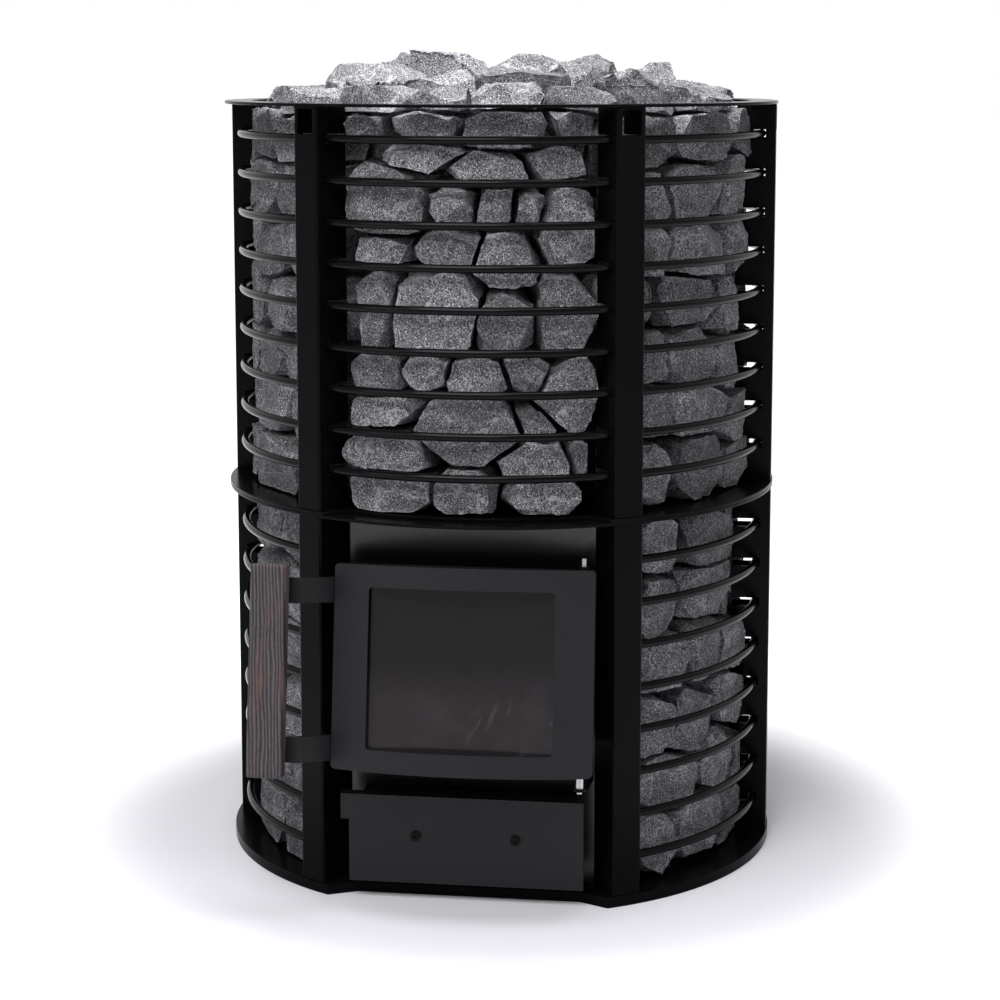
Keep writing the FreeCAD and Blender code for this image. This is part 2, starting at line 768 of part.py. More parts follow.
# Hinge: lugs on the shield, a pin through both lugs and the door, and a spacer under the door
def make_hinge():
    upper = "0.5*door_height + upper_lug_gap"
    lower = "- 0.5*door_height - lower_lug_gap - lug_sheet"
    behind = centred_box(
        "lug_behind", "plate_radius", "plate_radius", "2*plate_radius", times(-1, shield_line), "0")
    lugs = []
    for label, level in (("upper", upper), ("lower", lower)):
        eye = cylinder(f"lug_eye_{label}", "lug_eye_radius", "lug_sheet", pin_x, "- hinge_depth", level)
        arm = box(
            f"lug_arm_{label}", "2*lug_eye_radius", f"hinge_depth + {door_line}", "lug_sheet",
            f"{pin_x} - lug_eye_radius", "- hinge_depth", level)
        bore = cylinder(f"lug_bore_{label}", pin_way, "lug_sheet", pin_x, "- hinge_depth", level)
        lug = on_door(cut(f"lug_{label}", fuse(f"lug_blank_{label}", eye, arm), bore))
        lugs.append(cut(f"hinge_lug_{label}", lug, behind))
    node(group("hinge_lugs", lugs), "hinge_lugs")
    foot = f"{lower} - pin_below_lug"
    length = "door_height + upper_lug_gap + lower_lug_gap + 2*lug_sheet + pin_above_lug + pin_below_lug"
    pin = cylinder("pin_rod", "0.5*pin_diameter", length, pin_x, "- hinge_depth", foot)
    node(on_door(group("hinge_pin", [pin])), "hinge_pin")
    rest = "- 0.5*door_height - lower_lug_gap"
    tall = "lower_lug_gap - slide_play"
    sleeve = cylinder("spacer_outer", "0.5*spacer_diameter", tall, pin_x, "- hinge_depth", rest)
    bore = cylinder("spacer_bore", pin_way, tall, pin_x, "- hinge_depth", rest)
    node(on_door(cut("hinge_spacer", sleeve, bore)), "hinge_spacer")


# Handle: two bent straps on the free edge of the door, a wooden grip and its screws
def make_handle():
    root = "- 0.5*door_width"
    elbow = "- 0.5*door_width - strap_reach"
    tail = f"{elbow} - strap_tail"
    front = "- strap_root - strap_reach - 0.5*strap_thick"
    back = "- strap_root - strap_reach + 0.5*strap_thick"
    upright = along(Vector(0, 0, 1))
    grip_right = f"{elbow} - grip_inset"
    blank = box(
        "grip_blank", "grip_width", "grip_thick", "grip_length", f"{grip_right} - grip_width",
        f"{front} - grip_thick", "- 0.5*grip_length - grip_drop")
    grip = rounded("grip_rounded", blank, dim.grip_round, lambda edge: True)
    ways = []
    screws = []
    straps = {}
    for side, label in ((1, "upper"), (-1, "lower")):
        body = doc.addObject("PartDesign::Body", f"strap_{label}")
        section = outline(body, f"strap_section_{label}", "XY_Plane", [
            (root, "- strap_root + 0.7071*strap_thick"), (root, "- strap_root - 0.7071*strap_thick"),
            (f"{elbow} + 0.2071*strap_thick", front), (tail, front), (tail, back),
            (f"{elbow} - 0.2071*strap_thick", back)])
        bar = pad(body, f"strap_bar_{label}", section, "strap_height", True)

        def at_elbow(edge):
            return upright(edge) and abs(edge.BoundBox.Center.x - amount(elbow)) < dim.strap_thick

        bend_edges(body, f"strap_bend_{label}", bar, "strap_bend", at_elbow)
        level = side * dim.strap_offset - dim.grip_drop
        body.Placement = Placement(Vector(0, 0, level), Rotation())
        straps[label] = body
        for step in (-0.5, 0.5):
            x = amount(tail) + 0.5 * (dim.strap_tail - dim.grip_inset) + step * dim.grip_screw_span
            seat = Vector(x, amount(back), level)
            into_grip = Placement(seat, Rotation(Vector(1, 0, 0), -90))
            number = len(screws) + 1
            head = cylinder(f"grip_screw_head_{number}", "grip_screw_head_radius", "grip_screw_head_height")
            length, radius = "grip_screw_length", "0.5*grip_screw_thread"
            shank = cylinder(f"grip_screw_shank_{number}", radius, length, z=times(-1, length))
            screw = fuse(f"grip_screw_{number}", head, shank)
            screw.Placement = into_grip
            screws.append(screw)
            deep = f"{length} + screw_play"
            bore = cylinder(f"grip_screw_bore_{number}", f"{radius} + screw_play", deep, z=times(-1, deep))
            way = group(f"grip_screw_way_{number}", [bore])
            way.Placement = into_grip
            ways.append(way)
    holes = group("grip_screw_ways", ways)
    for label, body in straps.items():
        node(on_door(cut(f"handle_strap_{label}", body, holes)), f"handle_strap_{label}")
    node(on_door(cut("handle_grip", grip, holes)), "handle_grip")
    node(on_door(group("grip_screws", screws)), "grip_screws")


# Stones: irregular convex blocks. Each is cut from its own rough shape by one plane shared with each
# neighbour, so that neighbours lie a small gap apart, and by planes that keep it inside the cage.
front_stones = [
    # degrees around from the middle of the front, percent of the basket's height, degrees wide, percent tall
    (-24, 95.5, 8.5, 6), (-9, 96, 15, 7), (9.5, 95, 21, 10), (23, 96, 7, 7),
    (-10.5, 88, 18.5, 6), (5, 85.5, 17, 8), (19, 86.5, 13, 7),
    (-18.5, 77.5, 20, 18), (-3, 76.5, 10.5, 7), (6.5, 76, 9, 9), (13.5, 75.5, 6.5, 8), (22.5, 71.5, 13, 19),
    (-19, 65.5, 13.5, 7), (-5, 65.5, 14.5, 8.5), (9, 63.5, 13.5, 13.5),
    (-21, 51.5, 10.5, 18.5), (-6.5, 50.5, 23.5, 19), (8.5, 48.5, 13, 14.5), (22, 49.5, 13, 20),
    (-21.5, 34.5, 13, 11), (-9.5, 35.5, 11, 9), (3, 34.5, 16, 9.5), (12.5, 35.5, 10.5, 8.5),
    (23, 30.5, 14.5, 18.5),
    (-19.5, 25.5, 15, 8), (0.5, 21, 25, 17.5), (15.5, 23, 7.5, 6.5),
    (-18, 15.5, 19.5, 10.5), (15.5, 13.5, 16, 10), (25, 15, 4.5, 8.5),
    (-18, 6, 21, 9.5), (0, 6.5, 14, 11.5), (16, 5.5, 16, 8.5),
]
# How the stones break: how many rough sides, how far these stray and swell, and how square a stone is
stone_sides = 15
side_stray = 0.3
side_swell = (0.94, 1.12)
underside_swell = 1.25
squareness = 1.5
blank_oversize = 1.6
golden_turn = 137.5
# How a course is laid: uneven shares of its length, stones a little above or below its middle
share_spread = (0.65, 1.4)
level_spread = 0.2
course_margin = 0.4
core_course_share = 0.7
# Planes that stand for round walls, as shares of a stone's half width or as degrees to its sides
cage_facets = (-0.7, 0, 0.7)
rim_facets = (-0.6, 0, 0.6)
drum_facets = (-40, -20, 0, 20, 40)
# Degrees: how near a post a stone is cut by it, how far the drawer channel reaches around, and where
# the courses start beside the front posts
post_nearness = 12
# Share of a post's width from its middle, from which a stone lies beside the post and not behind it
least_aside = 0.7
channel_sector = 70
upper_start, lower_start = -2, 3
# Shares of the heap's height: what lies below the top ring, and how high each ring of the heap stands,
# from the flue out
core_sink, crown_sink = 0.5, 0.3
heap_tops = (1.1, 0.85, 0.42)
# Smallest cut and smallest edge of a stone
least_cut = 0.02
least_edge = 1e-5
draw = random.Random(11)


def radial(angle):
    turn = math.radians(angle)
    return Vector(math.sin(turn), -math.cos(turn), 0)


def stone(zone, angle, level, wide, deep, tall, radius):
    out = radial(angle)
    around = Vector(-out.y, out.x, 0)
    axes = ((around, 0.5 * wide), (out, 0.5 * deep), (Vector(0, 0, 1), 0.5 * tall))
    middle = out * radius + Vector(0, 0, level)
    return SimpleNamespace(zone=zone, angle=angle, middle=middle, axes=axes, planes=[])


def extent(rock, way, power):
    return sum((half * abs(way.dot(axis))) ** power for axis, half in rock.axes) ** (1 / power)


def wrapped(angle):
    return (angle + 180) % 360 - 180


def courses(zone, start, end, low, high, inner, outer, width, course):
    rows = max(1, round((high - low) / course))
    tall = (high - low) / rows
    radius, deep = 0.5 * (inner + outer), outer - inner
    placed = []
    for row in range(rows):
        count = max(3, round(math.radians(end - start) * outer / width))
        shares = [draw.uniform(*share_spread) for _ in range(count)]
        angle = start
        for share in shares:
            span = (end - start) * share / sum(shares)
            level = low + (row + 0.5 + draw.uniform(-level_spread, level_spread)) * tall
            level = min(max(level, low + course_margin * tall), high - course_margin * tall)
            wide = math.radians(span) * outer
            placed.append(stone(zone, wrapped(angle + 0.5 * span), level, wide, deep, tall, radius))
            angle += span
    return placed


def separate(first, second):
    # the plane between two neighbours, nearer to the smaller one
    reach = second.middle - first.middle
    scaled = Vector()
    for (axis, half), (_, other) in zip(first.axes, second.axes):
        scaled += axis * (reach.dot(axis) / (half + other) ** 2)
    normal = scaled.normalize()
    share = extent(first, normal, 2) / (extent(first, normal, 2) + extent(second, normal, 2))
    limit = normal.dot(first.middle + reach * share)
    first.planes.append((normal, limit - 0.5 * dim.stone_gap))
    second.planes.append((normal * -1, -limit - 0.5 * dim.stone_gap))


def clip(faces, normal, limit):
    kept = []
    rim = []
    if max(normal.dot(point) for loop in faces for point in loop) < limit + least_cut:
        return faces
    for loop in faces:
        above = [normal.dot(point) - limit for point in loop]
        left = []
        for index, point in enumerate(loop):
            follower = (index + 1) % len(loop)
            if above[index] <= 0:
                left.append(point)
            if above[index] * above[follower] < 0:
                share = above[index] / (above[index] - above[follower])
                crossing = point + (loop[follower] - point) * share
                left.append(crossing)
                rim.append(crossing)
        if len(left) > 2:
            kept.append(left)
    if len(rim) > 2:
        centre = sum(rim, Vector()) * (1 / len(rim))
        side = (rim[0] - centre).normalize()
        other = normal.cross(side)
        rim.sort(key=lambda point: math.atan2((point - centre).dot(other), (point - centre).dot(side)))
        distinct = [point for index, point in enumerate(rim) if (point - rim[index - 1]).Length > least_edge]
        kept.append(distinct)
    return kept


def rough_planes(rock):
    # evenly spread directions, each a little astray, at the height of a squared ellipsoid
    twist = draw.uniform(0, 360)
    planes = []
    for index in range(stone_sides):
        up = 1 - (2 * index + 1) / stone_sides
        across = math.sqrt(1 - up * up)
        turn = math.radians(twist + golden_turn * index)
        stray = Vector(*(draw.uniform(-side_stray, side_stray) for _ in range(3)))
        normal = (Vector(across * math.cos(turn), across * math.sin(turn), up) + stray).normalize()
        swell = draw.uniform(*side_swell) * (underside_swell if normal.z < -0.5 else 1)
        planes.append((normal, normal.dot(rock.middle) + extent(rock, normal, squareness) * swell))
    return planes


def rock_solid(rock):
    (around, wide), (out, deep), (rise, tall) = ((axis, blank_oversize * half) for axis, half in rock.axes)
    corner = {}
    for a in (-1, 1):
        for b in (-1, 1):
            for c in (-1, 1):
                corner[a, b, c] = rock.middle + around * (a * wide) + out * (b * deep) + rise * (c * tall)
    order = ((-1, -1), (1, -1), (1, 1), (-1, 1))
    faces = []
    for side in (-1, 1):
        faces.append([corner[side, p, q] for p, q in order])
        faces.append([corner[p, side, q] for p, q in order])
        faces.append([corner[p, q, side] for p, q in order])
    for normal, limit in rough_planes(rock) + rock.planes:
        faces = clip(faces, normal, limit)
    shell = Part.Shell([Part.Face(Part.makePolygon(loop + loop[:1])) for loop in faces])
    shell.sewShape()
    block = Part.Solid(shell)
    if block.Volume < 0:
        block.reverse()
    return block


def fence(rock, posts):
    # keeps a stone off the hoops, the posts, the drum and the flue
    half_turn = math.degrees(math.atan2(rock.axes[0][1], rock.middle.dot(rock.axes[1][0])))
    cage = amount(f"{hoop_line} - 0.5*hoop_rod - stone_cage_gap")
    behind_posts = amount(f"{post_face} - post_depth - stone_wall_gap")
    inside_ring = amount("plate_radius - top_ring_width - stone_rim_gap")
    drum = dim.drum_radius + dim.stone_wall_gap
    out = rock.axes[1][0]
    planes = rock.planes
    if rock.zone in ("upper", "lower"):
        for part in cage_facets:
            planes.append((radial(rock.angle + part * half_turn), cage - draw.uniform(0, dim.stone_recess)))
        planes.append((out * -1, -drum))
    if rock.zone == "heap":
        for part in rim_facets:
            planes.append((radial(rock.angle + part * half_turn), inside_ring))
    beside_posts = amount("0.5*post_width + stone_wall_gap")
    for angle in posts:
        if rock.zone == "core" or abs(wrapped(rock.angle - angle)) > half_turn + post_nearness:
            continue
        around = radial(angle + 90)
        aside = rock.middle.dot(around)
        if rock.zone == "heap" or abs(aside) < least_aside * dim.post_width:
            planes.append((radial(angle), behind_posts))
        else:
            planes.append((around * math.copysign(1, -aside), -beside_posts))
    if rock.zone == "core":
        for step in drum_facets:
            planes.append((radial(rock.angle + step), dim.drum_radius - 1.5 * dim.stone_wall_gap))
    if rock.zone in ("core", "heap"):
        planes.append((out * -1, -0.5 * dim.flue_bore - dim.flue_wall - dim.stone_wall_gap))
    up = Vector(0, 0, 1)
    floors = {"upper": shelf_top, "lower": base_top, "core": roof_top}
    if rock.zone in floors:
        planes.append((up * -1, -amount(floors[rock.zone]) - dim.stone_floor_gap))
    if rock.zone == "upper":
        planes.append((up, amount(top_ring_low) - dim.stone_wall_gap))
    if rock.zone == "lower":
        planes.append((up, amount(ring_low) - dim.stone_wall_gap))
    if rock.zone == "lower" and abs(rock.angle) < channel_sector:
        side = Vector(-1 if rock.angle > 0 else 1, 0, 0)
        planes.append((side, -dim.channel_half_width - dim.stone_wall_gap))
        planes.append((Vector(0, -1, 0), amount(f"{shield_line} - shield_sheet - stone_wall_gap")))


def stone_group(rock):
    side = "right" if rock.angle > 0 else "left"
    turn = abs(rock.angle)
    if rock.zone == "core":
        return "stones_core"
    if rock.zone == "heap":
        return "stones_top"
    if rock.zone == "upper" and turn < dim.front_post_angle:
        return "stones_upper_front"
    return f"stones_{rock.zone}_{side if turn < 90 else 'rear_' + side}"


def make_stones(posts):
    drum = dim.drum_radius + dim.stone_wall_gap
    cage = amount(f"{hoop_line} - 0.5*hoop_rod - stone_cage_gap")
    floor, ceiling = amount(shelf_top), amount(top_ring_low)
    rocks = []
    for angle, height, wide, tall in front_stones:
        level = floor + 0.01 * height * dim.upper_post_length
        width = math.radians(wide) * cage
        size = 0.01 * tall * dim.upper_post_length
        rocks.append(stone("upper", angle, level, width, cage - drum, size, 0.5 * (cage + drum)))
    layer = (drum, cage, dim.stone_width, dim.stone_course)
    edge = dim.front_post_angle + upper_start
    rocks += courses("upper", edge, 360 - edge, floor, ceiling, *layer)
    edge = dim.front_post_angle + lower_start
    rocks += courses("lower", edge, 360 - edge, amount(base_top), amount(ring_low), *layer)
    flue = 0.5 * dim.flue_bore + dim.flue_wall
    large = (dim.stone_core_size, core_course_share * dim.stone_core_size)
    core_top = ceiling - core_sink * dim.stone_heap
    rocks += courses("core", 0, 360, amount(roof_top), core_top, flue, dim.drum_radius, *large)
    rim = amount(f"{post_face} - post_depth - stone_wall_gap")
    step = (rim - flue) / len(heap_tops)
    for number, top in enumerate(heap_tops):
        crown = (ceiling - crown_sink * dim.stone_heap, ceiling + top * dim.stone_heap)
        ring = (flue + number * step, flue + (number + 1) * step)
        rocks += courses("heap", 0, 360, *crown, *ring, dim.stone_heap_width, dim.stone_heap_width)
    for index, first in enumerate(rocks):
        for second in rocks[:index]:
            near = sum(half for _, half in first.axes + second.axes)
            zones = {first.zone, second.zone}
            walled = zones == {"upper", "core"} or ("lower" in zones and len(zones) == 2)
            if not walled and (first.middle - second.middle).Length < near:
                separate(first, second)
    groups = {}
    for rock in rocks:
        fence(rock, posts)
        groups.setdefault(stone_group(rock), []).append(rock_solid(rock))
    for name, blocks in groups.items():
        node(solid_piece(name, Part.makeCompound(blocks)), name)


make_base()
make_feet()
post_angles = make_posts()
make_rings()
make_hoops("upper_hoops", shelf_top, *upper_rods, 0)
make_hoops("lower_hoops", base_top, *lower_rods, dim.hoop_end_angle)
make_firebox()
make_shield()
make_throat()
make_channel()
make_drawer()
make_fire_bed()
make_door()
make_hinge()
make_handle()
make_stones(post_angles)
doc.recompute()

for item in doc.Objects:
    if "Invalid" in item.State or "Error" in item.State:
        raise RuntimeError(f"{item.Name}: {item.State}")
for name, item in nodes.items():
    if item.Shape.isNull() or not item.Shape.isValid():
        raise RuntimeError(f"{name}: shape is empty or not valid")

os.makedirs("parts", exist_ok=True)
for name, item in nodes.items():
    item.Shape.exportStep(f"parts/{name}.step")
    print(f"{name}: {len(item.Shape.Solids)} solids, {item.Shape.Volume / 1000:.1f} cm3")
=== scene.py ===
import json
import math
import random

import bmesh
import bpy
from mathutils import Matrix, Vector, noise


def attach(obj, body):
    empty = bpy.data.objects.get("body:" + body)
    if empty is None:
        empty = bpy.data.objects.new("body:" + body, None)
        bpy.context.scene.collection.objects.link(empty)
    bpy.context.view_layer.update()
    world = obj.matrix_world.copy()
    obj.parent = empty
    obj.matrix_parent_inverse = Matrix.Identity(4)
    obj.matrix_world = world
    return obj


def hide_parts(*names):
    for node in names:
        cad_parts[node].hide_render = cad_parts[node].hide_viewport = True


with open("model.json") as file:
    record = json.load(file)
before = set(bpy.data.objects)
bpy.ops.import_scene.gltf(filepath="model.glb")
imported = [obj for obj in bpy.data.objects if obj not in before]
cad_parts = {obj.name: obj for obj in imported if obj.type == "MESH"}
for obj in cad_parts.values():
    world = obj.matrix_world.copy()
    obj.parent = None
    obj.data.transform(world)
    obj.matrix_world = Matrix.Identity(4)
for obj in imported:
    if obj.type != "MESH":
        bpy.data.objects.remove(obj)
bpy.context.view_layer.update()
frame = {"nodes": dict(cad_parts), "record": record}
nodes = frame["nodes"]
scene = bpy.context.scene
scene.view_settings.view_transform = "Standard"
print("frame loaded:", len(nodes), "nodes")


# colours are written as sRGB hex and used as linear
def linear(hexColour):
    parts = [int(hexColour[i:i + 2], 16) / 255 for i in (1, 3, 5)]
    parts = [c / 12.92 if c <= 0.04045 else ((c + 0.055) / 1.055) ** 2.4 for c in parts]
    return (*parts, 1.0)


# adds one node with its settings, socket values and links; sockets go by name or by number
def addNode(tree, kind, settings=None, values=None, links=None):
    node = tree.nodes.new(kind)
    for name, value in (settings or {}).items():
        setattr(node, name, value)
    for socket, value in (values or {}).items():
        node.inputs[socket].default_value = value
    for socket, source in (links or {}).items():
        tree.links.new(source, node.inputs[socket])
    return node


def startMaterial(name, values):
    material = bpy.data.materials.new(name)
    material.use_nodes = True
    tree = material.node_tree
    shader = tree.nodes["Principled BSDF"]
    for socket, value in values.items():
        shader.inputs[socket].default_value = value
    place = addNode(tree, "ShaderNodeTexCoord").outputs["Object"]
    return material, tree, shader, place


# number of pattern repeats in a metre for a size in millimetres
def perMetre(millimetres):
    return 1000 / millimetres


# colour and roughness that drift over a coated sheet, with the fine orange peel of the coat; sizes in millimetres
coatSizes = {"drift": 70, "dust": 6, "peel": 1.6}


def coatedSteel(name, dark, light, smooth, rough, peelHeight, gloss):
    material, tree, shader, place = startMaterial(name, {"IOR": 1.5, "Specular IOR Level": gloss})
    drift = addNode(tree, "ShaderNodeTexNoise", values={"Scale": perMetre(coatSizes["drift"]), "Detail": 4.0},
                    links={"Vector": place})
    dust = addNode(tree, "ShaderNodeTexNoise", values={"Scale": perMetre(coatSizes["dust"]), "Detail": 5.0},
                   links={"Vector": place})
    peel = addNode(tree, "ShaderNodeTexNoise", values={"Scale": perMetre(coatSizes["peel"]), "Detail": 2.0},
                   links={"Vector": place})
    colour = addNode(tree, "ShaderNodeMix", {"data_type": "RGBA"}, {6: linear(dark), 7: linear(light)},
                     {0: drift.outputs["Fac"]})
    wear = addNode(tree, "ShaderNodeMapRange", values={"From Min": 0.3, "From Max": 0.7, "To Min": smooth,
                                                       "To Max": rough}, links={"Value": dust.outputs["Fac"]})
    bump = addNode(tree, "ShaderNodeBump", values={"Strength": 0.25, "Distance": peelHeight / 1000},
                   links={"Height": peel.outputs["Fac"]})
    tree.links.new(colour.outputs[2], shader.inputs["Base Color"])
    tree.links.new(wear.outputs["Result"], shader.inputs["Roughness"])
    tree.links.new(bump.outputs["Normal"], shader.inputs["Normal"])
    return material


# black polyester powder coat on folded sheet steel: near black, satin, with a fine orange peel
blackCoat = coatedSteel("satinBlackPowderCoat", "#050506", "#0a0a0c", smooth=0.17, rough=0.25, peelHeight=0.01,
                        gloss=0.035)
# the same coat on drawn round rod, where it flows out smoother and draws a thin line of light along the hoops
rodCoat = coatedSteel("glossBlackRodCoat", "#050506", "#08080a", smooth=0.14, rough=0.2, peelHeight=0.003,
                      gloss=0.08)
# stove enamel on the shield over the door: smooth enough to hold a soft reflection of the room
shieldEnamel = coatedSteel("smoothBlackStoveEnamel", "#070708", "#0c0c0e", smooth=0.24, rough=0.27, peelHeight=0.004,
                           gloss=0.42)
# heat-proof silicone paint, sprayed: a matt charcoal, a little bluish and lighter than the cage
doorPaint = coatedSteel("heatProofCharcoalPaint", "#151417", "#1b1a1e", smooth=0.4, rough=0.52, peelHeight=0.05,
                        gloss=0.18)
# the same paint on the bent straps of the handle, drawn darker than on the door
strapPaint = coatedSteel("darkerCharcoalStrapPaint", "#0c0b0d", "#121114", smooth=0.32, rough=0.42, peelHeight=0.03,
                         gloss=0.18)
# firebox steel under the same paint, burnt dull
fireboxPaint = coatedSteel("burntBlackSteel", "#0d0c0c", "#1a1716", smooth=0.6, rough=0.8, peelHeight=0.08,
                           gloss=0.25)
# blackened button-head screws: oiled black oxide with a soft shine
screwBlack = coatedSteel("oiledBlackOxide", "#040405", "#070708", smooth=0.25, rough=0.35, peelHeight=0.01,
                         gloss=0.07)


# bare turned steel and zinc plate: bright, with faint lathe or plating streaks, this many millimetres wide
def brightSteel(name, dark, light, smooth, rough, streak):
    material, tree, shader, place = startMaterial(name, {"Metallic": 1.0})
    lay = addNode(tree, "ShaderNodeMapping", values={"Scale": (1.0, 1.0, 6.0)}, links={"Vector": place})
    streaks = addNode(tree, "ShaderNodeTexNoise", values={"Scale": perMetre(streak), "Detail": 4.0},
                      links={"Vector": lay.outputs["Vector"]})
    colour = addNode(tree, "ShaderNodeMix", {"data_type": "RGBA"}, {6: linear(dark), 7: linear(light)},
                     {0: streaks.outputs["Fac"]})
    wear = addNode(tree, "ShaderNodeMapRange", values={"To Min": smooth, "To Max": rough},
                   links={"Value": streaks.outputs["Fac"]})
    tree.links.new(colour.outputs[2], shader.inputs["Base Color"])
    tree.links.new(wear.outputs["Result"], shader.inputs["Roughness"])
    return material


turnedSteel = brightSteel("turnedBareSteel", "#8d8d90", "#c4c4c6", smooth=0.24, rough=0.4, streak=3)
zincPlate = brightSteel("brightZincPlate", "#a9adb0", "#d2d5d6", smooth=0.25, rough=0.42, streak=4)


# cast iron, firebrick and rope: granular, with soot that gathers in patches; grain, patches and depth in
# millimetres
def granular(name, dark, light, soot, grain, sootSize, depth, roughness):
    material, tree, shader, place = startMaterial(name, {"Roughness": roughness, "IOR": 1.5})
    grit = addNode(tree, "ShaderNodeTexNoise", values={"Scale": perMetre(grain), "Detail": 6.0},
                   links={"Vector": place})
    patches = addNode(tree, "ShaderNodeTexNoise", values={"Scale": perMetre(sootSize), "Detail": 5.0},
                      links={"Vector": place})
    body = addNode(tree, "ShaderNodeMix", {"data_type": "RGBA"}, {6: linear(dark), 7: linear(light)},
                   {0: grit.outputs["Fac"]})
    smoke = addNode(tree, "ShaderNodeMapRange", values={"From Min": 0.35, "From Max": 0.65},
                    links={"Value": patches.outputs["Fac"]})
    colour = addNode(tree, "ShaderNodeMix", {"data_type": "RGBA"}, {7: linear(soot)},
                     {0: smoke.outputs["Result"], 6: body.outputs[2]})
    bump = addNode(tree, "ShaderNodeBump", values={"Strength": 0.5, "Distance": depth / 1000},
                   links={"Height": grit.outputs["Fac"]})
    tree.links.new(colour.outputs[2], shader.inputs["Base Color"])
    tree.links.new(bump.outputs["Normal"], shader.inputs["Normal"])
    return material


# sand-cast grey iron, used in the fire: rough and dark brown-grey
castIron = granular("sandCastIron", "#29272a", "#3a3734", "#171514", grain=2.5, sootSize=60, depth=0.4,
                    roughness=0.75)
# pressed chamotte: buff and open-grained, smoked towards black
chamotte = granular("smokedChamotte", "#8a6f52", "#a98a68", "#2a2320", grain=3, sootSize=90, depth=0.6,
                    roughness=0.9)
# woven glass-fibre rope: dull grey with a coarse ply
fibreRope = granular("glassFibreRope", "#4a4846", "#6b6864", "#33302e", grain=1.8, sootSize=25, depth=0.5,
                     roughness=0.95)

# ceramic fire glass: clear and faintly brown over a dark firebox; a painted reflection makes it paler low down and
# towards the right, with a few pale slanting streaks in it
glassLook = {"glassOwnTint": "#2c272b", "reflectionPale": "#484247", "reflectionStreak": "#726c72", "reflectionTop": 0.245, "reflectionFull": 0.195,
             "smudge": 45, "clear": 0.05, "smoky": 0.16, "streakWidth": 6, "streakLean": 28,
             "streakLength": 5, "streakShare": (0.62, 0.76), "streakSide": (-0.05, 0.03)}
fireGlass, tree, shader, place = startMaterial("smokyCeramicGlass", {"Transmission Weight": 0.75, "IOR": 1.5,
                                                                      "Specular IOR Level": 0.08})
smudges = addNode(tree, "ShaderNodeTexNoise", values={"Scale": perMetre(glassLook["smudge"]), "Detail": 3.0,
                                                      "Distortion": 0.8}, links={"Vector": place})
film = addNode(tree, "ShaderNodeMapRange",
               values={"From Min": 0.35, "From Max": 0.7, "To Min": glassLook["clear"],
                       "To Max": glassLook["smoky"]}, links={"Value": smudges.outputs["Fac"]})
across = addNode(tree, "ShaderNodeSeparateXYZ", links={"Vector": place})
# painted reflection: the glass colour grows paler towards the bottom
reflectionLow = addNode(tree, "ShaderNodeMapRange", {"interpolation_type": "SMOOTHSTEP"},
              {"From Min": glassLook["reflectionTop"], "From Max": glassLook["reflectionFull"]}, {"Value": across.outputs["Z"]})
reflectionLowTint = addNode(tree, "ShaderNodeMix", {"data_type": "RGBA"},
                 {6: linear(glassLook["glassOwnTint"]), 7: linear(glassLook["reflectionPale"])}, {0: reflectionLow.outputs["Result"]})
lean = addNode(tree, "ShaderNodeMapping", {"vector_type": "TEXTURE"},
               {"Rotation": (0, math.radians(glassLook["streakLean"]), 0),
                "Scale": (1, 1, glassLook["streakLength"])}, {"Vector": place})
# painted reflection: pale slanting streaks, only low down and on the right
reflectionStreakNoise = addNode(tree, "ShaderNodeTexNoise", values={"Scale": perMetre(glassLook["streakWidth"]), "Detail": 1.0},
                links={"Vector": lean.outputs["Vector"]})
reflectionStreak = addNode(tree, "ShaderNodeMapRange", values={"From Min": glassLook["streakShare"][0],
                                                    "From Max": glassLook["streakShare"][1]},
                links={"Value": reflectionStreakNoise.outputs["Fac"]})
rightward = addNode(tree, "ShaderNodeMapRange",
                    values={"From Min": glassLook["streakSide"][0], "From Max": glassLook["streakSide"][1]},
                    links={"Value": across.outputs["X"]})
reflectionLowRight = addNode(tree, "ShaderNodeMath", {"operation": "MULTIPLY"},
                   links={0: rightward.outputs["Result"], 1: reflectionLow.outputs["Result"]})
reflectionStreakLow = addNode(tree, "ShaderNodeMath", {"operation": "MULTIPLY"},
                   links={0: reflectionStreak.outputs["Result"], 1: reflectionLowRight.outputs["Value"]})
glassTint = addNode(tree, "ShaderNodeMix", {"data_type": "RGBA"}, {7: linear(glassLook["reflectionStreak"])},
                    {0: reflectionStreakLow.outputs["Value"], 6: reflectionLowTint.outputs[2]})
tree.links.new(glassTint.outputs[2], shader.inputs["Base Color"])
tree.links.new(film.outputs["Result"], shader.inputs["Roughness"])

# broken igneous sauna stone: fine salt-and-pepper grain, dull, with pale crushed edges and hairline veins, each
# stone a little lighter or darker
stoneLook = {"shade": "#101012", "body": "#86868b", "fleck": "#f4f4f7", "crushed": "#a9a9ae", "grain": 1.5,
             "fleckSize": 1.8, "patch": 26, "vein": 46, "veinWidth": 0.012, "pit": 10, "pitDepth": 3.2,
             "pepper": (0.43, 0.59), "salt": (0.38, 0.18), "cloud": (0.7, 1.3)}
saunaStone, tree, shader, place = startMaterial("brokenDiabase", {"Roughness": 0.82, "IOR": 1.5,
                                                                  "Specular IOR Level": 0.3})
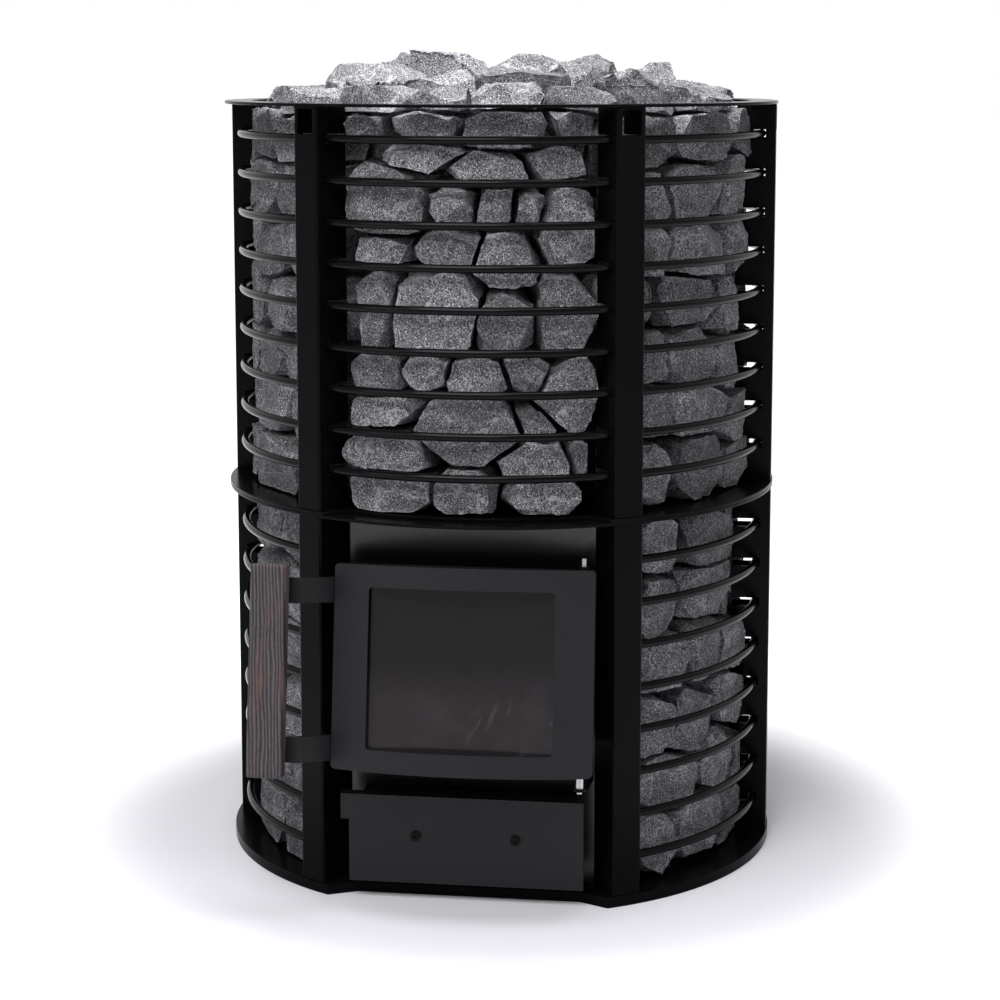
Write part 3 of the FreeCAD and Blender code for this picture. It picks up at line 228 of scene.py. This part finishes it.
# the real grain is under 1 mm; it is drawn a little coarser so that it still shows from two metres
grain = addNode(tree, "ShaderNodeTexNoise", values={"Scale": perMetre(stoneLook["grain"]), "Detail": 8.0,
                                                    "Roughness": 0.8}, links={"Vector": place})
flecks = addNode(tree, "ShaderNodeTexVoronoi", values={"Scale": perMetre(stoneLook["fleckSize"])},
                 links={"Vector": place})
patches = addNode(tree, "ShaderNodeTexNoise", values={"Scale": perMetre(stoneLook["patch"]), "Detail": 5.0},
                  links={"Vector": place})
seams = addNode(tree, "ShaderNodeTexNoise", values={"Scale": perMetre(stoneLook["vein"]), "Detail": 3.0},
                links={"Vector": place})
tone = addNode(tree, "ShaderNodeAttribute", {"attribute_name": "tone"})
rim = addNode(tree, "ShaderNodeAttribute", {"attribute_name": "rim"})
pepper = addNode(tree, "ShaderNodeMapRange", values={"From Min": stoneLook["pepper"][0],
                                                     "From Max": stoneLook["pepper"][1]},
                 links={"Value": grain.outputs["Fac"]})
body = addNode(tree, "ShaderNodeMix", {"data_type": "RGBA"},
               {6: linear(stoneLook["shade"]), 7: linear(stoneLook["body"])}, {0: pepper.outputs["Result"]})
salt = addNode(tree, "ShaderNodeMapRange", values={"From Min": stoneLook["salt"][0],
                                                   "From Max": stoneLook["salt"][1], "To Max": 0.85},
               links={"Value": flecks.outputs["Distance"]})
saltHere = addNode(tree, "ShaderNodeMath", {"operation": "MULTIPLY"},
                   links={0: salt.outputs["Result"], 1: pepper.outputs["Result"]})
salted = addNode(tree, "ShaderNodeMix", {"data_type": "RGBA"}, {7: linear(stoneLook["fleck"])},
                 {0: saltHere.outputs["Value"], 6: body.outputs[2]})
offSeam = addNode(tree, "ShaderNodeMath", {"operation": "SUBTRACT"}, {1: 0.5}, {0: seams.outputs["Fac"]})
seamWidth = addNode(tree, "ShaderNodeMath", {"operation": "ABSOLUTE"}, links={0: offSeam.outputs["Value"]})
vein = addNode(tree, "ShaderNodeMapRange", values={"From Min": stoneLook["veinWidth"], "From Max": 0.0,
                                                   "To Max": 0.6}, links={"Value": seamWidth.outputs["Value"]})
rimGrain = addNode(tree, "ShaderNodeMath", {"operation": "MULTIPLY"},
                   links={0: rim.outputs["Fac"], 1: pepper.outputs["Result"]})
paler = addNode(tree, "ShaderNodeMath", {"operation": "MAXIMUM"},
                links={0: vein.outputs["Result"], 1: rimGrain.outputs["Value"]})
crushed = addNode(tree, "ShaderNodeMix", {"data_type": "RGBA"}, {7: linear(stoneLook["crushed"])},
                  {0: paler.outputs["Value"], 6: salted.outputs[2]})
cloud = addNode(tree, "ShaderNodeMapRange", values={"From Min": 0.3, "From Max": 0.7,
                                                    "To Min": stoneLook["cloud"][0],
                                                    "To Max": stoneLook["cloud"][1]},
                links={"Value": patches.outputs["Fac"]})
level = addNode(tree, "ShaderNodeMath", {"operation": "MULTIPLY"},
                links={0: cloud.outputs["Result"], 1: tone.outputs["Fac"]})
stoneColour = addNode(tree, "ShaderNodeVectorMath", {"operation": "SCALE"},
                      links={0: crushed.outputs[2], "Scale": level.outputs["Value"]})
pits = addNode(tree, "ShaderNodeTexNoise", values={"Scale": perMetre(stoneLook["pit"]), "Detail": 8.0,
                                                   "Roughness": 0.72}, links={"Vector": place})
stoneBump = addNode(tree, "ShaderNodeBump", values={"Strength": 0.8, "Distance": stoneLook["pitDepth"] / 1000},
                    links={"Height": pits.outputs["Fac"]})
tree.links.new(stoneColour.outputs["Vector"], shader.inputs["Base Color"])
tree.links.new(stoneBump.outputs["Normal"], shader.inputs["Normal"])

# ash wood charred and brushed: the soft rings worn into dark wavy grooves along the grip, the hard ones left
# brown-grey, with reddish streaks where the wood shows through
woodLook = {"groove": "#232022", "ring": "#504a4d", "red": "#5f403c", "ringWidth": 3.4, "ringTurn": -10,
            "stretch": 0.1, "wander": 7.5, "streakWidth": 9, "fibreWidth": 0.8, "grooveDepth": 0.9}
charredWood, tree, shader, place = startMaterial("brushedCharredAsh", {"Roughness": 0.72, "IOR": 1.5,
                                                                      "Specular IOR Level": 0.3})
alongGrain = addNode(tree, "ShaderNodeMapping",
                     values={"Rotation": (0, 0, math.radians(woodLook["ringTurn"])),
                             "Scale": (1.0, 1.0, woodLook["stretch"])}, links={"Vector": place})
# a wave of scale 1 repeats every pi/10
rings = addNode(tree, "ShaderNodeTexWave", {"bands_direction": "X"},
                {"Scale": perMetre(woodLook["ringWidth"]) * math.pi / 10, "Distortion": woodLook["wander"],
                 "Detail": 2.0, "Detail Scale": 0.8}, {"Vector": alongGrain.outputs["Vector"]})
streaks = addNode(tree, "ShaderNodeTexNoise", values={"Scale": perMetre(woodLook["streakWidth"]), "Detail": 3.0},
                  links={"Vector": alongGrain.outputs["Vector"]})
fibres = addNode(tree, "ShaderNodeTexNoise", values={"Scale": perMetre(woodLook["fibreWidth"]), "Detail": 4.0},
                 links={"Vector": alongGrain.outputs["Vector"]})
worn = addNode(tree, "ShaderNodeMath", {"operation": "MULTIPLY"},
               links={0: rings.outputs["Fac"], 1: fibres.outputs["Fac"]})
charring = addNode(tree, "ShaderNodeMapRange", values={"From Min": 0.05, "From Max": 0.5},
                   links={"Value": worn.outputs["Value"]})
wood = addNode(tree, "ShaderNodeMix", {"data_type": "RGBA"},
               {6: linear(woodLook["groove"]), 7: linear(woodLook["ring"])}, {0: charring.outputs["Result"]})
redness = addNode(tree, "ShaderNodeMapRange", values={"From Min": 0.55, "From Max": 0.75, "To Max": 0.55},
                  links={"Value": streaks.outputs["Fac"]})
woodColour = addNode(tree, "ShaderNodeMix", {"data_type": "RGBA"}, {7: linear(woodLook["red"])},
                     {0: redness.outputs["Result"], 6: wood.outputs[2]})
grainBump = addNode(tree, "ShaderNodeBump", values={"Strength": 0.7, "Distance": woodLook["grooveDepth"] / 1000},
                    links={"Height": worn.outputs["Value"]})
tree.links.new(woodColour.outputs[2], shader.inputs["Base Color"])
tree.links.new(grainBump.outputs["Normal"], shader.inputs["Normal"])
print("materials made")

# finish and record slot of each node; every name that starts with a key takes its finish
finishes = {
    "base_plate": (blackCoat, "black_coat"), "lower_post": (blackCoat, "black_coat"),
    "upper_post": (blackCoat, "black_coat"), "lower_ring": (blackCoat, "black_coat"),
    "top_ring": (blackCoat, "black_coat"), "stone_shelf": (blackCoat, "black_coat"),
    "upper_hoops": (rodCoat, "black_coat"), "lower_hoops": (rodCoat, "black_coat"),
    "firebox": (fireboxPaint, "black_coat"), "flue_collar": (fireboxPaint, "black_coat"),
    "front_shield": (shieldEnamel, "black_coat"), "door_throat": (fireboxPaint, "black_coat"),
    "drawer_channel": (blackCoat, "black_coat"), "drawer_runners": (blackCoat, "black_coat"),
    "ash_tray": (fireboxPaint, "black_coat"), "drawer_front": (doorPaint, "door_coat"),
    "drawer_screws": (screwBlack, "black_screw"), "grip_screws": (screwBlack, "black_screw"),
    "grate_support": (fireboxPaint, "black_coat"), "fire_grate": (castIron, "cast_iron"),
    "fire_brick": (chamotte, "fire_brick"), "smoke_baffle": (castIron, "cast_iron"),
    "door_shell": (doorPaint, "door_coat"), "glass_retainer": (fireboxPaint, "black_coat"),
    "door_glass": (fireGlass, "glass"), "door_gasket": (fibreRope, "gasket"),
    "hinge_lugs": (blackCoat, "black_coat"), "hinge_pin": (turnedSteel, "bare_steel"),
    "hinge_spacer": (turnedSteel, "bare_steel"), "handle_strap": (strapPaint, "black_coat"),
    "handle_grip": (charredWood, "charred_wood"), "levelling": (zincPlate, "zinc"),
    "stones": (saunaStone, "stone"),
}


def finishOf(name):
    return next(finish for start, finish in finishes.items() if name.startswith(start))


for name, item in nodes.items():
    for number in range(len(item.material_slots)):
        item.material_slots[number].material = finishOf(name)[0]


weldReach = 0.00001  # metres


# a copy of a node's mesh, welded from loose triangles into whole flat faces
def weldedCopy(name, flatAngle):
    bm = bmesh.new()
    bm.from_mesh(nodes[name].data)
    bmesh.ops.remove_doubles(bm, verts=bm.verts, dist=weldReach)
    bmesh.ops.dissolve_limit(bm, angle_limit=math.radians(flatAngle), verts=bm.verts, edges=bm.edges)
    return bm


# puts a finished bmesh in the place of its node
def standIn(bm, name, pieceName, smoothAngle):
    mesh = bpy.data.meshes.new(pieceName)
    bm.to_mesh(mesh)
    bm.free()
    material, slotName = finishOf(name)
    mesh.materials.clear()
    mesh.materials.append(material)
    mesh.polygons.foreach_set("use_smooth", [True] * len(mesh.polygons))
    mesh.set_sharp_from_angle(angle=math.radians(smoothAngle))
    piece = bpy.data.objects.new(pieceName, mesh)
    scene.collection.objects.link(piece)
    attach(piece, bodyOf[name])
    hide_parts(name)
    return piece


bodies = frame["record"]["behaviour"]["bodies"]
bodyOf = {name: body for body, members in bodies.items() for name in members}

# stones: broken slantwise along each side, across the corners and over the outer face, then roughened, always
# inwards; sizes in metres, angles in degrees, and a value that ends in Left is the share of the block that stays
stoneForm = {"sides": 8, "sideSlant": 9, "sideLean": (-14, 20), "sideLeft": (0.9, 0.99),
             "cornerSlant": 14, "cornerLeft": (0.78, 0.97), "breaks": 3, "breakTilt": (8, 40),
             "breakLeft": (0.88, 0.98), "heapLevel": 0.74, "heapLeft": (0.74, 0.97), "cutSnap": 0.00002,
             "sliver": 0.0004, "edge": 0.00616, "hiddenEdge": 0.0224, "hiddenFrom": -0.3, "passes": 7,
             "flatAngle": 0.2, "smoothAngle": 24, "rimAngle": 60, "swellSize": 0.03, "swellDepth": 0.0028,
             "flakeSize": 0.024, "flakeWarp": 0.5, "warpScale": 1.7, "flakeDepth": 0.0018, "roughSize": 0.009,
             "roughDepth": 0.002, "fractal": (0.7, 2.0, 3), "tones": (0.78, 1.22), "seed": 5}
stoneDraw = random.Random(stoneForm["seed"])
noise.seed_set(stoneForm["seed"])  # without a seed, noise_vector starts from the clock


# the loose blocks of a mesh, each as a bmesh of its own
def looseBlocks(bm):
    bm.verts.index_update()
    left = set(range(len(bm.verts)))
    bm.verts.ensure_lookup_table()
    while left:
        reach = [min(left)]
        block = set(reach)
        while reach:
            for edge in bm.verts[reach.pop()].link_edges:
                for vert in edge.verts:
                    if vert.index not in block:
                        block.add(vert.index)
                        reach.append(vert.index)
        left -= block
        single = bm.copy()
        bmesh.ops.delete(single, geom=[vert for vert in single.verts if vert.index not in block],
                         context="VERTS")
        yield single


def chipBlock(bm, hidden):
    middle = sum((vert.co for vert in bm.verts), Vector()) / len(bm.verts)
    inHeap = middle.z > stoneForm["heapLevel"]
    outer = Vector((0, 0, 1)) if inHeap else Vector((middle.x, middle.y, 0)).normalized()
    level = outer.orthogonal().normalized() if inHeap else Vector((-outer.y, outer.x, 0))
    planes = []
    for side in range(stoneForm["sides"]):
        slant, left = ("cornerSlant", "cornerLeft") if side % 2 else ("sideSlant", "sideLeft")
        turn = 360 / stoneForm["sides"] * side + stoneDraw.gauss(0, stoneForm[slant])
        around = Matrix.Rotation(math.radians(turn), 3, outer)
        lean = math.radians(stoneDraw.uniform(*stoneForm["sideLean"]))
        planes.append((around @ level * math.cos(lean) + outer * math.sin(lean),
                       stoneDraw.uniform(*stoneForm[left])))
    for _ in range(stoneForm["breaks"]):
        aside = outer.cross(Vector([stoneDraw.gauss(0, 1) for _ in range(3)])).normalized()
        tilt = math.radians(stoneDraw.uniform(*stoneForm["breakTilt"]))
        left = stoneDraw.uniform(*stoneForm["heapLeft" if inHeap else "breakLeft"])
        planes.append((outer * math.cos(tilt) + aside * math.sin(tilt), left))
    for away, left in planes:
        reach = max((vert.co - middle).dot(away) for vert in bm.verts)
        bmesh.ops.bisect_plane(bm, geom=bm.verts[:] + bm.edges[:] + bm.faces[:], dist=stoneForm["cutSnap"],
                               plane_co=middle + away * reach * left, plane_no=away, clear_outer=True)
        bmesh.ops.holes_fill(bm, edges=bm.edges, sides=0)
    bmesh.ops.remove_doubles(bm, verts=bm.verts, dist=stoneForm["sliver"])
    bmesh.ops.triangulate(bm, faces=bm.faces)
    depth = max((vert.co - middle).dot(outer) for vert in bm.verts)

    # longest edge allowed at a point: fine on the outer side of a stone, coarse on the hidden side
    def longest(edge):
        at = ((edge.verts[0].co + edge.verts[1].co) / 2 - middle).dot(outer)
        shown = not hidden and at > stoneForm["hiddenFrom"] * depth
        return stoneForm["edge" if shown else "hiddenEdge"]

    for _ in range(stoneForm["passes"]):
        longEdges = [edge for edge in bm.edges if edge.calc_length() > longest(edge)]
        if not longEdges:
            break
        bmesh.ops.subdivide_edges(bm, edges=longEdges, cuts=1)
        bmesh.ops.triangulate(bm, faces=[face for face in bm.faces if len(face.verts) > 3])
    bmesh.ops.remove_doubles(bm, verts=bm.verts, dist=stoneForm["sliver"])
    bm.normal_update()
    tones = bm.verts.layers.float.new("tone")
    rims = bm.verts.layers.float.new("rim")
    tone = stoneDraw.uniform(*stoneForm["tones"])
    for vert in bm.verts:
        vert[tones] = tone
        vert[rims] = min(1, max(edge.calc_face_angle(0) for edge in vert.link_edges)
                         / math.radians(stoneForm["rimAngle"]))
    normals = [vert.normal.copy() for vert in bm.verts]
    for vert, normal in zip(bm.verts, normals):
        swell = 0.5 + 0.5 * noise.noise(vert.co / stoneForm["swellSize"])
        warped = vert.co / stoneForm["flakeSize"]
        flake = noise.cell(warped + stoneForm["flakeWarp"] * noise.noise_vector(warped * stoneForm["warpScale"]))
        rough = 0.5 + 0.5 * noise.fractal(vert.co / stoneForm["roughSize"], *stoneForm["fractal"])
        vert.co -= normal * (stoneForm["swellDepth"] * swell + stoneForm["flakeDepth"] * max(0, flake)
                             + stoneForm["roughDepth"] * max(0, rough))


def breakStones(name):
    whole = bmesh.new()
    whole.verts.layers.float.new("tone")
    whole.verts.layers.float.new("rim")
    blocks = weldedCopy(name, stoneForm["flatAngle"])
    for block in looseBlocks(blocks):
        chipBlock(block, name == "stones_core")
        single = bpy.data.meshes.new("singleStone")
        block.to_mesh(single)
        block.free()
        whole.from_mesh(single)
        bpy.data.meshes.remove(single)
    blocks.free()
    return standIn(whole, name, name.replace("stones", "brokenStones"),
                   stoneForm["smoothAngle"])


stonePieces = [breakStones(name) for name in sorted(nodes) if name.startswith("stones")]
print("stones broken:", sum(len(piece.data.polygons) for piece in stonePieces), "faces")

# wooden grip: a brushed block with open grain, in the leaning frame of the door
gripForm = {"low": (-0.195, -0.0545, -0.1025), "high": (-0.161, -0.0345, 0.0965), "round": 0.003,
            "cuts": (26, 16, 60), "grainWidth": 0.0034, "grainLength": 0.06, "groove": 0.0007,
            "fractal": (0.7, 2.0, 3), "bandShare": 0.35, "bandScale": 0.37, "deepest": 1.2, "smoothAngle": 50,
            "doorAt": (0, -0.257, 0.232), "doorLean": -9}
doorFrame = (Matrix.Translation(gripForm["doorAt"])
             @ Matrix.Rotation(math.radians(gripForm["doorLean"]), 4, "X"))


def makeGrip():
    low, high = Vector(gripForm["low"]), Vector(gripForm["high"])
    bm = bmesh.new()
    bmesh.ops.create_cube(bm, size=1)
    bmesh.ops.scale(bm, verts=bm.verts, vec=high - low)
    bmesh.ops.translate(bm, verts=bm.verts, vec=(high + low) / 2)
    bmesh.ops.bevel(bm, geom=bm.edges[:], offset=gripForm["round"], offset_type="OFFSET", segments=3,
                    profile=0.5, affect="EDGES", material=-1)
    for axis, cuts in enumerate(gripForm["cuts"]):
        length = (high - low)[axis] - 2.2 * gripForm["round"]  # the flat between the rounds, and a little less
        runs = [edge for edge in bm.edges if abs(edge.verts[0].co[axis] - edge.verts[1].co[axis]) > length]
        bmesh.ops.subdivide_edges(bm, edges=runs, cuts=cuts, use_grid_fill=True)
    bm.normal_update()
    for vert in bm.verts:
        at = vert.co
        grain = Vector((at.x / gripForm["grainWidth"], at.y / gripForm["grainWidth"],
                        at.z / gripForm["grainLength"]))
        bands = gripForm["bandShare"] * max(0, noise.noise(grain * gripForm["bandScale"]))
        depth = max(0, noise.fractal(grain, *gripForm["fractal"])) + bands
        vert.co -= vert.normal * min(gripForm["deepest"], depth) * gripForm["groove"]
    bm.transform(doorFrame)
    standIn(bm, "handle_grip", "brushedGrip", gripForm["smoothAngle"])


makeGrip()
print("grip carved")

# folded sheet and flat bar: pressed edges are never sharp, so they catch a thin line of light; radii in metres,
# angles in degrees
edgeForm = {"flatAngle": 0.05, "foldAngle": 40, "smoothAngle": 20, "segments": 2, "flatWeight": 100, "post": 0.0006}
edgeRound = {
    "door_shell": 0.0009, "drawer_front": 0.0007, "handle_strap_upper": 0.0008, "handle_strap_lower": 0.0008,
    "top_ring": 0.0006, "lower_ring": 0.0006, "stone_shelf": 0.0006, "base_plate": 0.0008,
    "front_shield": 0.0005, "drawer_channel": 0.0004, "hinge_lugs": 0.0004,
}
for name in nodes:
    if "post" in name:
        edgeRound[name] = edgeForm["post"]


def softenEdges(name, width):
    bm = weldedCopy(name, edgeForm["flatAngle"])
    folds = [edge for edge in bm.edges if len(edge.link_faces) == 2
             and edge.calc_face_angle(0) > math.radians(edgeForm["foldAngle"])]
    bmesh.ops.bevel(bm, geom=folds, offset=width, offset_type="OFFSET", segments=edgeForm["segments"],
                    profile=0.5, affect="EDGES", clamp_overlap=True, material=-1)
    piece = standIn(bm, name, name + "_folded", edgeForm["smoothAngle"])
    # large flat faces keep their own normal where they run into a fold
    flat = piece.modifiers.new("flatFaces", "WEIGHTED_NORMAL")
    flat.keep_sharp = True
    flat.weight = edgeForm["flatWeight"]


for name, width in edgeRound.items():
    softenEdges(name, width)
print("edges rounded on", len(edgeRound), "pieces")

# pale floor and sky: the floor is white all round but for the stove's own shadow, the sky a little dimmer in front
stageLook = {"floor": "#cfced4", "glowNear": 0.02, "glowFar": 1.0, "glowReach": (0.34, 0.62), "skyBack": 1.0,
             "skyFront": 0.5, "skyLight": 0.2, "skyReach": (-0.35, 0.5), "span": 60.0}
bpy.ops.mesh.primitive_plane_add(size=stageLook["span"])
floor = bpy.context.object
floor.name = "studioFloor"
floorPaper, tree, shader, place = startMaterial(
    "matteWhitePaper", {"Base Color": linear(stageLook["floor"]), "Roughness": 0.9, "Specular IOR Level": 0.1})


# 1 for what the eye, a reflection or the glass sees, 0 for what only lights other things
def seenRays(tree):
    rays = addNode(tree, "ShaderNodeLightPath")
    direct = addNode(tree, "ShaderNodeMath", {"operation": "MAXIMUM"},
                     links={0: rays.outputs["Is Camera Ray"], 1: rays.outputs["Is Glossy Ray"]})
    return addNode(tree, "ShaderNodeMath", {"operation": "MAXIMUM"},
                   links={0: direct.outputs["Value"], 1: rays.outputs["Is Transmission Ray"]}).outputs["Value"]


away = addNode(tree, "ShaderNodeVectorMath", {"operation": "LENGTH"}, links={0: place})
lift = addNode(tree, "ShaderNodeMapRange", {"interpolation_type": "SMOOTHSTEP"},
               {"From Min": stageLook["glowReach"][0], "From Max": stageLook["glowReach"][1],
                "To Min": stageLook["glowNear"], "To Max": stageLook["glowFar"]},
               {"Value": away.outputs["Value"]})
glow = addNode(tree, "ShaderNodeMath", {"operation": "MULTIPLY"},
               links={0: lift.outputs["Result"], 1: seenRays(tree)})
shader.inputs["Emission Color"].default_value = (1, 1, 1, 1)
tree.links.new(glow.outputs["Value"], shader.inputs["Emission Strength"])
floor.data.materials.append(floorPaper)

world = bpy.data.worlds.new("studioRoom")
scene.world = world
world.use_nodes = True
tree = world.node_tree
sky = tree.nodes["Background"]
direction = addNode(tree, "ShaderNodeTexCoord").outputs["Generated"]
towards = addNode(tree, "ShaderNodeSeparateXYZ", links={"Vector": direction})
brightness = addNode(tree, "ShaderNodeMapRange", {"interpolation_type": "SMOOTHSTEP"},
                     {"From Min": stageLook["skyReach"][0], "From Max": stageLook["skyReach"][1],
                      "To Min": stageLook["skyFront"], "To Max": stageLook["skyBack"]},
                     {"Value": towards.outputs["Y"]})
strength = addNode(tree, "ShaderNodeMix", values={2: stageLook["skyLight"]},
                   links={0: seenRays(tree), 3: brightness.outputs["Result"]})
sky.inputs["Color"].default_value = (1, 1, 1, 1)
tree.links.new(strength.outputs[0], sky.inputs["Strength"])

# soft boxes: a large one over the front, a weak one from each side and a near one over the heap
lamps = {
    "keyBox": {"at": (-0.5, -2.2, 2.7), "aim": (0, 0, 0.45), "size": (1.8, 1.4), "power": 85},
    "leftBox": {"at": (-1.9, -2.0, 1.6), "aim": (0, 0, 0.4), "size": (0.9, 1.6), "power": 14},
    "rightBox": {"at": (2.6, -1.6, 1.6), "aim": (0, 0, 0.4), "size": (1.0, 1.6), "power": 14},
    "topBox": {"at": (0, -0.1, 1.8), "aim": (0, 0, 0.6), "size": (1.0, 1.0), "power": 32},
}
for name, box in lamps.items():
    light = bpy.data.lights.new(name, "AREA")
    light.shape = "RECTANGLE"
    light.size, light.size_y = box["size"]
    light.energy = box["power"]
    lamp = bpy.data.objects.new(name, light)
    scene.collection.objects.link(lamp)
    lamp.location = box["at"]
    lamp.rotation_euler = (Vector(box["aim"]) - Vector(box["at"])).to_track_quat("-Z", "Y").to_euler()

# camera at the photograph's place: angles in degrees, distances in metres
shot = {"turn": 7.96, "away": 2.408, "height": 0.7977, "pitch": 7.7, "lens": 84.57, "shift": (-0.0017, -0.12)}
camera = bpy.data.cameras.new("shotCamera")
camera.sensor_width = 36
camera.lens = shot["lens"]
camera.shift_x, camera.shift_y = shot["shift"]
viewer = bpy.data.objects.new("shotCamera", camera)
scene.collection.objects.link(viewer)
turn = math.radians(shot["turn"])
viewer.location = (math.sin(turn) * shot["away"], -math.cos(turn) * shot["away"], shot["height"])
viewer.rotation_euler = (math.radians(90 - shot["pitch"]), 0, turn)
scene.camera = viewer
print("stage, lamps and camera set")
